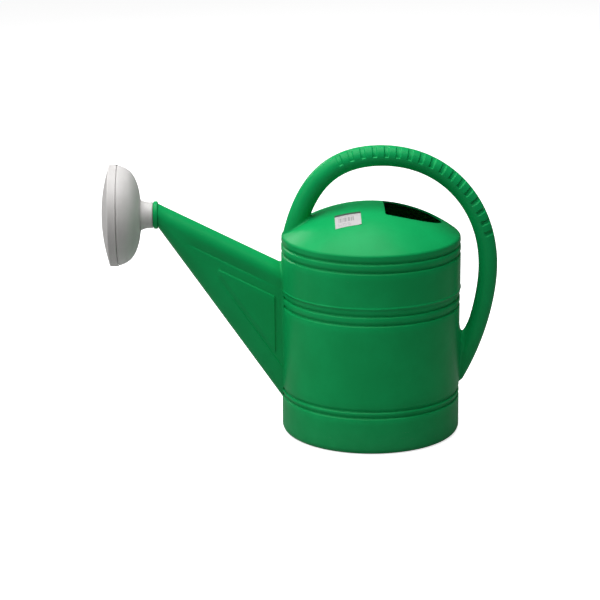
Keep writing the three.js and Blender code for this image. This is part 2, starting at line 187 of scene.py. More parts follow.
def loft(name: str, rings: Array, closed: bool = False) -> Piece:
    """Extrudes a circle ring by ring and puts each ring in its place.

    Args:
        name: The piece's name.
        rings: Rings by columns by x, y, z, in millimetres.
        closed: Whether both ends are filled.

    Returns:
        The lofted skin.
    """
    count, columns = rings.shape[:2]
    piece = start_piece(name, "circle", vertices=columns, radius=1.0, fill_type="NOTHING")
    with editing(everything=False):
        for _ in range(count - 1):
            bpy.ops.mesh.extrude_edges_move(TRANSFORM_OT_translate={"value": (0.0, 0.0, 1.0)})
    place_points(piece, rings.reshape(-1, 3))
    if closed:
        with editing():
            bpy.ops.mesh.region_to_loop()
            bpy.ops.mesh.edge_face_add()
    return piece


def block(name: str, rings: Sequence[Array]) -> Piece:
    """A solid between two flat rings, for cutting."""
    cutter = loft(name, np.array(rings), closed=True)
    seal(cutter)
    return cutter


class Axis(Enum):
    """The two lines that turned pieces are spun about."""

    TANK = "tank"
    NOSE = "nose"


def turn(
    name: str,
    outline: Sequence[Pair],
    axis: Axis,
    steps: int,
    nose: float,
    hollow: bool = False,
) -> Piece:
    """Spins an outline, as on a lathe.

    Args:
        name: The piece's name.
        outline: (distance along the axis, radius) points in millimetres; equal ends close it.
        axis: What it is spun about.
        steps: How many sides it gets.
        nose: Height of the nose axis.
        hollow: Whether it is a closed shell with a hollow inside.

    Returns:
        The turned piece, sealed and facing outwards.
    """
    piece = start_piece(name, "plane", size=1.0)
    with editing(everything=False):
        bpy.ops.mesh.merge(type="CENTER")
        for _ in range(len(outline) - 1):
            bpy.ops.mesh.extrude_region_move(TRANSFORM_OT_translate={"value": (0.0, 0.0, 1.0)})
    along, radius = np.array(outline, float).T
    if axis is Axis.TANK:
        points = np.stack([radius, 0 * along, along], 1)
        centre, line = (0.0, 0.0, 0.0), (0.0, 0.0, 1.0)
    else:
        points = np.stack([along, 0 * along, nose + radius], 1)
        centre, line = (0.0, 0.0, nose * MM), (1.0, 0.0, 0.0)
    place_points(piece, points)
    with editing():
        bpy.ops.mesh.spin(steps=steps, angle=2 * math.pi, center=centre, axis=line)
    seal(piece, hollow=hollow)
    return piece


def arc(centre: Pair, radius: float, start: float, end: float, steps: int) -> list[Pair]:
    """Points on an arc in an outline.

    Args:
        centre: (distance along the axis, radius) of its centre.
        radius: Its radius.
        start: First angle in degrees, from the outward direction towards positive distances.
        end: Last angle.
        steps: How many steps lie between them.

    Returns:
        The points, both ends included.
    """
    angles = np.radians(np.linspace(start, end, steps + 1))
    return [(centre[0] + radius * math.sin(a), centre[1] + radius * math.cos(a)) for a in angles]


def curve_through(knots: Sequence[Pair], steps: int) -> list[Pair]:
    """A smooth curve through some points.

    Args:
        knots: The points.
        steps: Steps between each two of them.

    Returns:
        The curve's points, both ends included.
    """
    p = np.array([knots[0], *knots, knots[-1]], float)
    found: list[Pair] = []
    for i in range(1, len(p) - 2):
        for t in np.linspace(0, 1, steps, endpoint=False):
            a = 2 * p[i] + (p[i + 1] - p[i - 1]) * t
            b = (2 * p[i - 1] - 5 * p[i] + 4 * p[i + 1] - p[i + 2]) * t**2
            c = (3 * p[i] - p[i - 1] - 3 * p[i + 1] + p[i + 2]) * t**3
            x, y = 0.5 * (a + b + c)
            found.append((float(x), float(y)))
    found.append((float(knots[-1][0]), float(knots[-1][1])))
    return found


def step_up(value: Array | float, low: float, high: float) -> Array:
    """Rises smoothly from 0 at low to 1 at high."""
    t = np.clip((np.asarray(value, float) - low) / (high - low), 0, 1)
    return t * t * (3 - 2 * t)


# ---------------------------------------------------------------- the tank's outer form


@dataclass(frozen=True)
class TankForm:
    """The drum and the dome, which the spout and the handle are blended into. Millimetres.

    Args:
        radius: The drum's radius.
        rim: Height where the wall's line and the dome's curve would meet.
        rise: Rim to crown.
        corner: Rounding between wall and dome.
        foot_corner: Rounding at the floor.
        shade: How far below the rim a point may lie and still belong to the dome.
    """

    radius: float = 116.0
    rim: float = 262.0
    rise: float = 40.0
    corner: float = 6.0
    foot_corner: float = 8.0
    shade: float = 30.0

    @property
    def cap(self) -> float:
        """The dome's radius of curvature."""
        return (self.radius**2 + self.rise**2) / (2 * self.rise)

    @property
    def cap_centre(self) -> float:
        """Height of the dome's centre of curvature."""
        return self.rim + self.rise - self.cap

    @property
    def corner_centre(self) -> Pair:
        """(radius, height) of the rim corner's centre."""
        across = self.radius - self.corner
        return across, self.cap_centre + math.sqrt((self.cap - self.corner) ** 2 - across**2)

    def outside(self, points: Array) -> tuple[Array, Array]:
        """How far points lie outside the form, and which way is out there.

        Args:
            points: Rows of x, y, z.

        Returns:
            Signed distances, and unit normals, one row each.
        """
        flat = np.hypot(points[:, 0], points[:, 1])
        around = points[:, :2] / np.maximum(flat, 1e-9)[:, None]
        across, height = self.corner_centre
        lean = math.atan2(height - self.cap_centre, across)
        angle = np.arctan2(points[:, 2] - height, flat - across)
        ball = np.hypot(flat, points[:, 2] - self.cap_centre)
        climb = np.arctan2(points[:, 2] - self.cap_centre, flat)
        on_cap = (climb >= lean) & (points[:, 2] > self.rim - self.shade)
        on_wall = ~on_cap & ((angle <= 0) | (flat < across))
        tip = np.hypot(flat - across, points[:, 2] - height)
        off_wall = np.where(on_wall, flat - self.radius, tip - self.corner)
        distance = np.where(on_cap, ball - self.cap, off_wall)
        slope = np.where(on_cap, climb, np.where(on_wall, 0.0, angle))
        normals = np.column_stack([np.cos(slope)[:, None] * around, np.sin(slope)])
        return distance, normals

    def lay(self, points: Array, sink: float) -> Array:
        """Moves points on to the form, then a little below its surface."""
        for _ in range(3):
            distance, normals = self.outside(points)
            points = points - distance[:, None] * normals
        return points - sink * normals


@dataclass(frozen=True)
class Root:
    """How a limb grows out of the tank.

    Args:
        radius: Radius of the hollow rounding, in millimetres.
        start: Length along the limb where every column is still inside the tank.
        settled: Length where the limb's rings are square to it again.
        longest: The most that the rounding may run along either surface.
        shortest: The least that it may run.
        sink: How far its edge lies under the tank's surface.
        stride: Step along the limb while looking for the tank's surface.
    """

    radius: float
    start: float
    settled: float
    longest: float = 34.0
    shortest: float = 0.6
    sink: float = 0.12
    stride: float = 0.25

    def rings(
        self, form: TankForm, columns: Callable[[Array], Array], rounds: int, slants: int
    ) -> Array:
        """The rings from the tank's surface to the settled ring.

        Args:
            form: The tank.
            columns: Gives one point per column for one length per column.
            rounds: Rings in the rounding.
            slants: Rings from there to the settled one.

        Returns:
            Rings by columns by x, y, z.
        """
        count = len(columns(np.zeros(1)))
        step = math.copysign(self.stride, self.settled - self.start)
        crossing = np.full(count, self.start)
        found = np.zeros(count, bool)
        length = self.start
        while not found.all() and abs(length - self.start) < abs(self.settled - self.start):
            distance, _ = form.outside(columns(np.full(count, length)))
            newly = (distance > 0) & ~found
            crossing[newly] = length
            found |= newly
            length += step
        meet = columns(crossing)
        along = columns(crossing + 4 * step) - meet
        along /= np.linalg.norm(along, axis=1)[:, None]
        _, normals = form.outside(meet)
        centre = meet.mean(0)
        away = meet - centre
        away -= (away * normals).sum(1)[:, None] * normals
        away /= np.maximum(np.linalg.norm(away, axis=1), 1e-9)[:, None]
        angle = np.arccos(np.clip((along * away).sum(1), -0.999, 0.999))
        reach = np.clip(self.radius / np.tan(angle / 2), self.shortest, self.longest)
        high = crossing + np.sign(step) * reach
        outer = form.lay(meet + reach[:, None] * away, self.sink)
        upper = columns(high)
        rounding = [
            (1 - t) ** 2 * outer + 2 * t * (1 - t) * meet + t**2 * upper
            for t in np.linspace(0, 1, rounds)
        ]
        slanted = [
            columns(high + (self.settled - high) * t) for t in np.linspace(0, 1, slants + 1)[1:]
        ]
        return np.array(rounding + slanted)


# ---------------------------------------------------------------- finishes


def new_group(
    name: str, inputs: dict[str, float], outputs: Sequence[str]
) -> tuple[Tree, dict[str, Socket]]:
    """Starts a shader node group with named sockets.

    Args:
        name: The group's name.
        inputs: Its number inputs and their values.
        outputs: Its number outputs.

    Returns:
        The group, and its input sockets by name with "Vector" for object coordinates.
    """
    tree = bpy.data.node_groups.new(name, "ShaderNodeTree")
    for label, value in inputs.items():
        socket = tree.interface.new_socket(label, in_out="INPUT", socket_type="NodeSocketFloat")
        socket.default_value = value
    for label in outputs:
        tree.interface.new_socket(label, in_out="OUTPUT", socket_type="NodeSocketFloat")
    entry = tree.nodes.new("NodeGroupInput")
    sockets = {socket.name: socket for socket in entry.outputs}
    sockets["Vector"] = tree.nodes.new("ShaderNodeTexCoord").outputs["Object"]
    return tree, sockets


def wire(
    tree: Tree, kind: str, links: dict[int | str, object], **settings: object
) -> bpy.types.Node:
    """Adds a node, sets it and links its inputs.

    Args:
        tree: Where the node goes.
        kind: Its type.
        links: Sockets or plain values for its inputs.
        settings: Its properties.

    Returns:
        The node.
    """
    node = tree.nodes.new(kind)
    for key, value in settings.items():
        setattr(node, key, value)
    for key, value in links.items():
        if isinstance(value, Socket):
            tree.links.new(value, node.inputs[key])
        else:
            node.inputs[key].default_value = value
    return node


def math_node(tree: Tree, operation: str, *values: object) -> Socket:
    """A Math node's result for up to three sockets or numbers."""
    return wire(tree, "ShaderNodeMath", dict(enumerate(values)), operation=operation).outputs[0]


def times(tree: Tree, *values: object) -> Socket:
    """The product of two sockets or numbers, with a third added where there is one."""
    return math_node(tree, "MULTIPLY_ADD" if len(values) == 3 else "MULTIPLY", *values)


def band(tree: Tree, value: object, low: float, high: float) -> Socket:
    """Rises from 0 at low to 1 at high, or falls where low is the larger."""
    links = {0: value, 1: low, 2: high}
    return wire(tree, "ShaderNodeMapRange", links, interpolation_type="SMOOTHSTEP").outputs[0]


def noise(
    tree: Tree, vector: Socket, scale: object, detail: float, roughness: float = 0.5
) -> Socket:
    """A noise value over object coordinates in metres."""
    links = {"Vector": vector, "Scale": scale, "Detail": detail, "Roughness": roughness}
    return wire(tree, "ShaderNodeTexNoise", links).outputs[0]


def mix(tree: Tree, share: Socket, low: Triple | Socket, high: Triple) -> Socket:
    """A colour between low and high."""
    first = low if isinstance(low, Socket) else (*low, 1.0)
    links = {0: share, 6: first, 7: (*high, 1.0)}
    return wire(tree, "ShaderNodeMix", links, data_type="RGBA").outputs[2]


def new_material(name: str, specular: float) -> tuple[bpy.types.Material, Tree, dict[str, Socket]]:
    """Starts a material.

    Args:
        name: Its name.
        specular: Its specular level.

    Returns:
        The material, its node tree, and its surface's input sockets by name.
    """
    material = bpy.data.materials.new(name)
    material.use_nodes = True
    tree = material.node_tree
    surface = {socket.name: socket for socket in tree.nodes["Principled BSDF"].inputs}
    surface["Specular IOR Level"].default_value = specular
    return material, tree, surface


def emboss(
    tree: Tree, surface: dict[str, Socket], height: Socket, strength: float, depth: float
) -> None:
    """Bumps a surface by a height, with the depth in millimetres."""
    links = {"Height": height, "Strength": strength, "Distance": depth * MM}
    tree.links.new(wire(tree, "ShaderNodeBump", links).outputs[0], surface["Normal"])


def output(tree: Tree, **values: Socket) -> None:
    """Wires a group's outputs by name."""
    wire(tree, "NodeGroupOutput", values)


def make_skin_group() -> Tree:
    """The skin of moulded plastic: slow waves of the wall, fine grain and uneven gloss."""
    inputs = {"Wave": 0.5, "Grain": 0.5, "Grain Scale": 900.0}
    tree, inside = new_group("MouldedSkin", inputs, ["Height", "Tone", "Gloss"])
    vector = inside["Vector"]
    wave = noise(tree, vector, 14.0, 2.0)
    ripple = noise(tree, vector, 60.0, 3.0)
    grain = noise(tree, vector, inside["Grain Scale"], 4.0, 0.6)
    slow = times(tree, ripple, 0.16, wave)
    swell = times(tree, slow, inside["Wave"])
    fine = times(tree, inside["Grain"], 0.1)
    height = times(tree, grain, fine, swell)
    tone = noise(tree, vector, 22.0, 5.0, 0.62)
    gloss = noise(tree, vector, 130.0, 4.0, 0.7)
    output(tree, Height=height, Tone=tone, Gloss=gloss)
    return tree


def make_parting_group() -> Tree:
    """The faint line where the two halves of the mould met, along the plane of symmetry."""
    tree, inside = new_group("PartingLine", {"Width": 0.0006}, ["Line"])
    apart = wire(tree, "ShaderNodeSeparateXYZ", {0: inside["Vector"]})
    distance = math_node(tree, "ABSOLUTE", apart.outputs[1])
    share = math_node(tree, "DIVIDE", distance, inside["Width"])
    output(tree, Line=band(tree, share, 1.0, 0.0))
    return tree


def make_scuff_group() -> Tree:
    """Handling marks: short fine scratches and dull patches, more of them near the ground."""
    tree, inside = new_group("Scuffs", {"Amount": 0.5, "Foot": 0.06}, ["Mask", "Dust"])
    vector = inside["Vector"]
    turned = wire(tree, "ShaderNodeMapping", {0: vector, 2: (0.5, 0.3, 0.9), 3: (1.0, 1.0, 9.0)})
    lines = band(tree, noise(tree, turned.outputs[0], 70.0, 3.0, 0.7), 0.66, 0.74)
    where = band(tree, noise(tree, vector, 9.0, 2.0), 0.5, 0.7)
    height = wire(tree, "ShaderNodeSeparateXYZ", {0: vector}).outputs[2]
    climb = math_node(tree, "DIVIDE", height, inside["Foot"])
    low = math_node(tree, "SUBTRACT", 1.0, band(tree, climb, 0.0, 1.0))
    share = times(tree, low, 0.6, where)
    marked = times(tree, lines, share)
    mask = times(tree, marked, inside["Amount"])
    dust = times(tree, low, noise(tree, vector, 45.0, 5.0, 0.7))
    output(tree, Mask=mask, Dust=dust)
    return tree


@dataclass(frozen=True)
class Effects:
    """The node groups that the finishes share.

    Args:
        skin: Moulded skin.
        parting: Parting line.
        scuffs: Handling marks.
    """

    skin: Tree = field(default_factory=make_skin_group)
    parting: Tree = field(default_factory=make_parting_group)
    scuffs: Tree = field(default_factory=make_scuff_group)


def place_group(tree: Tree, group: Tree, **values: float) -> bpy.types.Node:
    """Puts a shared group in a material with its own values."""
    node = tree.nodes.new("ShaderNodeGroup")
    node.node_tree = group
    for key, value in values.items():
        node.inputs[key.replace("_", " ")].default_value = value
    return node


@dataclass(frozen=True)
class MouldedPlastic:
    """A moulded polyethylene finish.

    Args:
        name: The material's name.
        colour: Linear base colour.
        shade: Linear colour of its darker patches.
        rub: Linear colour of scuffs and dust.
        roughness: Mean roughness.
        roughness_spread: How far it varies.
        wave: Strength of the wall's slow waves.
        grain: Strength of the fine grain.
        scuffs: Strength of handling marks.
        dust: Strength of the dust near the ground.
        specular: Specular level.
        glow: Share of light that scatters inside the plastic.
        glow_depth: How far it scatters, in millimetres.
        parting: Strength of the parting line.
    """

    name: str
    colour: Triple
    shade: Triple
    rub: Triple
    roughness: float = 0.36
    roughness_spread: float = 0.1
    wave: float = 0.5
    grain: float = 0.5
    scuffs: float = 0.3
    dust: float = 0.08
    specular: float = 0.5
    glow: float = 0.0
    glow_depth: float = 2.0
    parting: float = 0.3

    def make(self, effects: Effects) -> bpy.types.Material:
        """Builds the material.

        Args:
            effects: The shared groups.

        Returns:
            The material.
        """
        material, tree, surface = new_material(self.name, self.specular)
        material.diffuse_color = (*self.colour, 1.0)
        surface["Subsurface Weight"].default_value = self.glow
        surface["Subsurface Scale"].default_value = self.glow_depth * MM
        surface["Subsurface Radius"].default_value = (1.0, 1.0, 1.0)
        skin = place_group(tree, effects.skin, Wave=self.wave, Grain=self.grain).outputs
        line = place_group(tree, effects.parting).outputs["Line"]
        marks = place_group(tree, effects.scuffs, Amount=self.scuffs).outputs
        base = mix(tree, band(tree, skin["Tone"], 0.35, 0.7), self.shade, self.colour)
        rubbed = times(tree, marks["Dust"], self.dust, marks["Mask"])
        tree.links.new(mix(tree, rubbed, base, self.rub), surface["Base Color"])
        spread = self.roughness_spread
        uneven = times(tree, skin["Gloss"], spread, self.roughness - spread / 2)
        dull = times(tree, marks["Mask"], 0.3, uneven)
        tree.links.new(dull, surface["Roughness"])
        ridge = times(tree, line, self.parting)
        scratch = times(tree, marks["Mask"], -0.2, ridge)
        height = math_node(tree, "ADD", skin["Height"], scratch)
        emboss(tree, surface, height, 0.35, 0.6)
        return material


@dataclass(frozen=True)
class LabelPaper:
    """White paper with plain grey bars and lines that say nothing.

    Places on the label are shares of its size, from its middle.

    Args:
        name: The material's name.
        centre: The label's middle in plan, in millimetres.
        width: Its size along X.
        length: Its size along Y.
        header: Where the dark header fades in, going up.
        bars: The window of upright bars, across and up.
        texts: The windows of small lines.
        inks: Strengths of the header, the bars and the lines.
    """

    name: str
    centre: Pair
    width: float
    length: float
    header: Pair = (0.33, 0.35)
    bars: tuple[Pair, Pair] = ((-0.36, 0.22), (-0.16, 0.14))
    texts: tuple[tuple[Pair, Pair], ...] = (
        ((-0.4, 0.38), (0.18, 0.33)),
        ((-0.4, 0.1), (-0.42, -0.22)),
    )
    inks: Triple = (0.95, 0.6, 0.42)
    ink: Triple = (0.03, 0.06, 0.045)
    paper: Triple = (0.6, 0.575, 0.585)
    worn_paper: Triple = (0.52, 0.495, 0.505)

    def make(self, effects: Effects) -> bpy.types.Material:
        """Builds the material.

        Args:
            effects: The shared groups.

        Returns:
            The material.
        """
        material, tree, surface = new_material(self.name, 0.3)
        place = tree.nodes.new("ShaderNodeTexCoord").outputs["Object"]
        apart = wire(tree, "ShaderNodeSeparateXYZ", {0: place}).outputs
        across, up = (
            math_node(tree, "DIVIDE", math_node(tree, "SUBTRACT", socket, middle * MM), size * MM)
            for socket, middle, size in zip(apart, self.centre, (self.width, self.length))
        )
        header = band(tree, up, *self.header)
        code = {"W": times(tree, across, 34.0), "Scale": 1.0, "Detail": 0.0}
        stripes = wire(tree, "ShaderNodeTexNoise", code, noise_dimensions="1D").outputs[0]
        inside = self.window(tree, across, up, self.bars)
        bars = times(tree, band(tree, stripes, 0.5, 0.53), inside)
        rows = math_node(tree, "SINE", times(tree, up, 88.0))
        words = band(tree, noise(tree, place, 420.0, 1.0), 0.42, 0.5)
        lines = times(tree, band(tree, rows, 0.3, 0.6), words)
        fields = [self.window(tree, across, up, window) for window in self.texts]
        lines = times(tree, lines, math_node(tree, "MAXIMUM", *fields))
        printed = [
            times(tree, mark, strength)
            for mark, strength in zip((header, bars, lines), self.inks)
        ]
        small = math_node(tree, "MAXIMUM", printed[1], printed[2])
        dark = math_node(tree, "MAXIMUM", printed[0], small)
        skin = place_group(tree, effects.skin, Wave=0.6, Grain=0.8).outputs
        paper = mix(tree, skin["Tone"], self.worn_paper, self.paper)
        tree.links.new(mix(tree, dark, paper, self.ink), surface["Base Color"])
        rough = times(tree, skin["Gloss"], 0.15, 0.5)
        tree.links.new(rough, surface["Roughness"])
        emboss(tree, surface, skin["Height"], 0.3, 0.3)
        return material

    @staticmethod
    def window(tree: Tree, across: Socket, up: Socket, span: tuple[Pair, Pair]) -> Socket:
        """1 inside a rectangle of the label, 0 outside it."""
        edge = 0.008
        sides = [
            band(tree, value, place + side * edge, place)
            for value, ends in zip((across, up), span)
            for side, place in zip((-1, 1), ends)
        ]
        wide = times(tree, sides[0], sides[1])
        tall = times(tree, sides[2], sides[3])
        return times(tree, wide, tall)


GREEN = MouldedPlastic(
    name="green_polyethylene",
    colour=(0.006, 0.425, 0.118),
    shade=(0.005, 0.385, 0.104),
    rub=(0.25, 0.5, 0.36),
    roughness=0.36,
    wave=0.55,
    grain=0.35,
    specular=0.11,
)
GREY = MouldedPlastic(
    name="grey_polyethylene",
    colour=(0.8, 0.775, 0.765),
    shade=(0.745, 0.725, 0.71),
    rub=(0.36, 0.35, 0.33),
    roughness=0.5,
    wave=0.35,
    grain=0.6,
    scuffs=0.35,
    dust=0.0,
    parting=0.0,
    glow=0.2,
    glow_depth=14.0,
)


# ---------------------------------------------------------------- the can


@dataclass
class Tank:
    """The drum, its hoops, the domed top and the filling mouth, as one moulded skin.

    Args:
        form: The outer form.
        hoops: Heights of the grooves.
        wall: Thickness of the moulding.
    """

    form: TankForm
    hoops: tuple[float, ...] = (49.4, 57.8, 171.8, 183.4, 240.1, 251.9)
    wall: float = 2.2
    groove_depth: float = 2.3
    groove_above: float = 4.4
    groove_below: float = 2.5
    shoulder: float = 190.6
    shoulder_run: float = 3.0
    drum_step: float = 0.5
    lip: float = 0.75
    lip_above: float = 3.2
    lip_half: float = 1.05
    rim_fade: Pair = (9.0, 1.0)
    recess: float = 1.2
    recess_run: Pair = (9.0, 6.0)
    ring_gap: float = 9.0
    mouth_centre: float = 37.0
    mouth_half_length: float = 54.5
    mouth_half_width: float = 40.4
    mouth_front: float = 16.5
    mouth_corner: float = 5.2
    mouth_ease: float = 0.6
    steps: int = 224

    def radius_at(self, height: float) -> float:
        """The drum's radius at a height, with the hoops, the shoulder and the wider upper drum."""
        radius = self.form.radius
        for hoop in self.hoops:
            reach = self.groove_above if height > hoop else self.groove_below
            share = min(abs(height - hoop) / reach, 1.0)
            radius -= self.groove_depth * (0.5 + 0.5 * math.cos(math.pi * share))
        above, rim = height - self.shoulder, self.form.rim
        wider = self.drum_step * float(step_up(above, 0, self.shoulder_run))
        wider *= float(1 - step_up(height, rim - self.rim_fade[0], rim - self.rim_fade[1]))
        lip = self.lip * math.exp(-(((above - self.lip_above) / self.lip_half) ** 2))
        return radius + wider + lip

    def heights(self, fineness: int, shoulder_step: float) -> list[float]:
        """Heights of the wall's rings, close together where the wall has shape.

        Args:
            fineness: Steps across one groove.
            shoulder_step: Millimetres between the rings at the shoulder.

        Returns:
            The heights, lowest first.
        """
        found = {self.form.foot_corner, self.form.rim - self.rim_fade[1]}
        shares = np.linspace(0, 1, fineness // 2 + 1)
        for hoop in self.hoops:
            found.update(hoop - self.groove_below * t for t in shares)
            found.update(hoop + self.groove_above * t for t in shares)
        found.update(self.shoulder + t for t in np.arange(-0.6, 7.4, shoulder_step))
        ordered = sorted(found)
        for low, high in zip(ordered, ordered[1:]):
            parts = int((high - low) / self.ring_gap)
            found.update(low + (high - low) * (k + 1) / (parts + 1) for k in range(parts))
        return sorted(found)

    def outline(self) -> list[Pair]:
        """The wall's closed outline: up its outside from floor to crown, and down its inside."""
        form, wall, recess = self.form, self.wall, self.recess
        foot = form.foot_corner
        flat = form.radius - foot
        inner, outer = (flat - run for run in self.recess_run)
        points = [(recess, 0.0), (recess, 60.0), (recess, inner), (0.0, outer)]
        points += arc((foot, flat), foot, -90, 0, 8)
        points += [(z, self.radius_at(z)) for z in self.heights(12, 0.5)]
        across, height = form.corner_centre
        lean = math.degrees(math.atan2(height - form.cap_centre, across))
        points += arc((height, across), form.corner, 0, lean, 8)[1:]
        points += arc((form.cap_centre, 0.0), form.cap, lean, 90, 44)[1:]
        points += arc((form.cap_centre, 0.0), form.cap - wall, 90, lean, 20)
        points += arc((height, across), form.corner - wall, lean, 0, 4)[1:]
        points += [(z, self.radius_at(z) - wall) for z in self.heights(4, 2.0)[::-1]]
        points += arc((foot, flat), foot - wall, 0, -90, 5)[1:]
        return points + [(wall, outer), (recess + wall, inner), (recess + wall, 0.0)]

    def mouth_outline(self) -> list[Pair]:
        """The mouth in plan: an ellipse cut off square at the front, with rounded corners."""
        front, corner = self.mouth_front, self.mouth_corner
        start = math.acos((front + corner - self.mouth_centre) / self.mouth_half_length)
        oval = [
            (
                self.mouth_centre + self.mouth_half_length * math.cos(a),
                self.mouth_half_width * math.sin(a),
            )
            for a in np.linspace(-start, start, 73)
        ]
        x, y = oval[-1]
        flat = y - corner
        rounding = [
            (
                (1 - t) ** 2 * x + (2 * t * (1 - t) + t * t) * front,
                (1 - t * t) * y + t * t * flat - (1 - t) * t * self.mouth_ease,
            )
            for t in np.linspace(0, 1, 7)[1:]
        ]
        edge = [(front, flat * (1 - 2 * t)) for t in np.linspace(0, 1, 9)[1:-1]]
        return oval + rounding + edge + [(px, -py) for px, py in rounding[::-1]]

    def mouth_cutter(self) -> Piece:
        """An upright block with the mouth's outline."""
        plan = np.array(self.mouth_outline())
        levels = (self.form.rim - 18.0, self.form.rim + 70.0)
        return block("mouth_cutter", [np.insert(plan, 2, z, axis=1) for z in levels])

    def build(self, water_way: Piece) -> Piece:
        """Models the tank.

        Args:
            water_way: The block that opens its wall into the spout.

        Returns:
            The moulded skin, open at the mouth and into the spout.
        """
        tank = turn("tank_skin", self.outline(), Axis.TANK, self.steps, 0.0, hollow=True)
        carve(tank, self.mouth_cutter())
        carve(tank, water_way)
        seal(tank, 0.002)
        smooth(tank, 40)
        return tank


@dataclass
class Spout:
    """The tall fin that carries the water, with its round way on top and a raised panel each side.

    Args:
        form: The tank that it grows out of.
        nose: Height of the nozzle's axis.
        waist_rows: Share of the way down from the crown, and share of the waist there.
        panel_top: Millimetres below the way, and share of the panel's rise.
        panel_foot: Millimetres above the strip, share of the panel's rise, and of the crease.
    """

    form: TankForm
    nose: float = 290.5
    tip: float = -273.9
    tip_above: float = 14.6
    tip_below: float = 17.2
    top_slope: float = 0.5047
    bottom_slope: float = 1.4550
    tip_half_width: float = 16.4
    root_half_width: float = 19.7
    length: float = 158.9
    crown_height: float = 19.0
    way_height: float = 32.6
    way_growth: float = 0.55
    strip_height: float = 45.0
    strip_growth: float = 0.374
    swell: float = 0.5
    swell_run: Pair = (0.0, 60.0)
    waist: float = 1.25
    waist_in: Pair = (34.0, 52.0)
    waist_out: Pair = (112.0, 150.0)
    waist_loss: float = 0.85
    crease: float = 0.9
    crease_run: Pair = (62.0, 112.0)
    keel_lean: float = 0.26
    keel_run: Pair = (60.0, 120.0)
    panel_raise: float = 1.8
    panel_border: float = 13.7
    panel_grow: Pair = (27.3, 29.0)
    panel_front: float = -204.5
    panel_rear: float = -125.2
    wall: float = 1.8
    collar_radius: float = 17.9
    collar_width: float = 6.9
    nozzle_radius: float = 14.6
    nozzle_length: float = 13.5
    bore: float = 12.4
    collar_front: float = 2.4
    collar_back: float = 1.6
    mouth_edge: float = 0.6
    way_share: Pair = (0.72, 0.92)
    near: float = -118.0
    far: float = -124.0
    waist_rows: tuple[Pair, ...] = (
        (0.25, 0.12), (0.5, 0.45), (0.7, 0.85), (0.82, 1.0), (0.88, 0.9), (0.94, 0.25), (1.0, 0.0)
    )
    panel_top: tuple[Pair, ...] = ((3.0, 0.0), (7.0, 0.0), (11.6, 0.0), (12.9, 0.9), (13.7, 1.0))
    panel_foot: tuple[Triple, ...] = (
        (13.7, 1.0, 0.0), (12.6, 0.97, 0.0), (9.0, 0.5, 0.1), (5.5, 0.12, 0.5),
        (2.6, 0.0, 1.0), (1.0, 0.0, 0.6), (0.0, 0.0, 0.0),
    )

    def section(self, x: float) -> Array:
        """One slice of the fin.

        Args:
            x: Where the slice lies.

        Returns:
            Its (y, z) points: down the +Y flank from the top, and up the other.
        """
        along = x - self.tip
        top = self.nose + self.tip_above - self.top_slope * along
        bottom = self.nose - self.tip_below - self.bottom_slope * along
        tall = top - bottom
        extra = tall - self.tip_above - self.tip_below
        way = min(self.way_height, self.tip_above - 0.2 + self.way_growth * extra)
        strip = min(self.strip_height, self.tip_below - 0.2 + self.strip_growth * extra)
        middle = tall - way - strip
        crown = min(self.crown_height, way - 0.4)
        widening = self.root_half_width - self.tip_half_width
        half = self.tip_half_width + widening * along / self.length
        swell = self.swell * float(step_up(along, *self.swell_run))
        waist = self.waist * float(step_up(along, *self.waist_in))
        waist *= float(1 - self.waist_loss * step_up(along, *self.waist_out))
        points: list[Pair] = []
        for a in np.radians(np.linspace(90, 0, 15)):
            points.append(((half + swell) * math.cos(a), top - crown * (1 - math.sin(a))))
        for share, dip in self.waist_rows:
            drop = crown + (way - crown) * share
            points.append((half + swell * (1 - share) - waist * dip, top - drop))
        on = float(self.panel_front < x < self.panel_rear)
        fit = min(1.0, middle / (2 * self.panel_border))
        raised = self.panel_raise * on * float(step_up(middle, *self.panel_grow))
        for down, share in self.panel_top:
            points.append((half + raised * share, top - way - down * fit))
        seam = bottom + strip
        upper = top - way - self.panel_border * fit
        lower = seam + self.panel_border * fit
        for t in (0.2, 0.4, 0.6, 0.8):
            points.append((half + raised, upper + (lower - upper) * t))
        crease = self.crease * float(step_up(along, *self.crease_run))
        for up, share, sink in self.panel_foot:
            points.append((half + raised * share - crease * sink, seam + up * fit))
        lean = self.keel_lean * float(step_up(along, *self.keel_run))
        for a in np.radians(np.linspace(0, 90, 17)[1:]):
            left = 1 - math.sin(a)
            points.append((half * ((1 - lean) * math.cos(a) + lean * left), bottom + strip * left))
        flank = np.array(points)
        other = flank[-2:0:-1] * np.array([-1.0, 1.0])
        return np.vstack([flank, other])

    def slice_at(self, x: float) -> Array:
        """The slice's points in space."""
        return np.insert(self.section(x), 0, x, axis=1)

    def columns(self, places: Array) -> Array:
        """One point per column, each at its own distance along X.

        Args:
            places: X of each column, or one value for a count only.

        Returns:
            Rows of x, y, z.
        """
        if len(places) == 1:
            return self.slice_at(float(places[0]))
        near, far = self.slice_at(self.near), self.slice_at(self.far)
        share = (places - near[:, 0]) / (far[:, 0] - near[:, 0])
        return near + share[:, None] * (far - near)

    def water_way(self) -> Piece:
        """A block narrower than the fin, for the opening between the tank and the spout."""
        flat = self.section(self.near)
        middle = flat.mean(0)
        flat = middle + (flat - middle) * np.array(self.way_share)
        ends = (self.near - 10.0, self.near + 14.0)
        return block("water_way_cutter", [np.insert(flat, 0, x, axis=1) for x in ends])

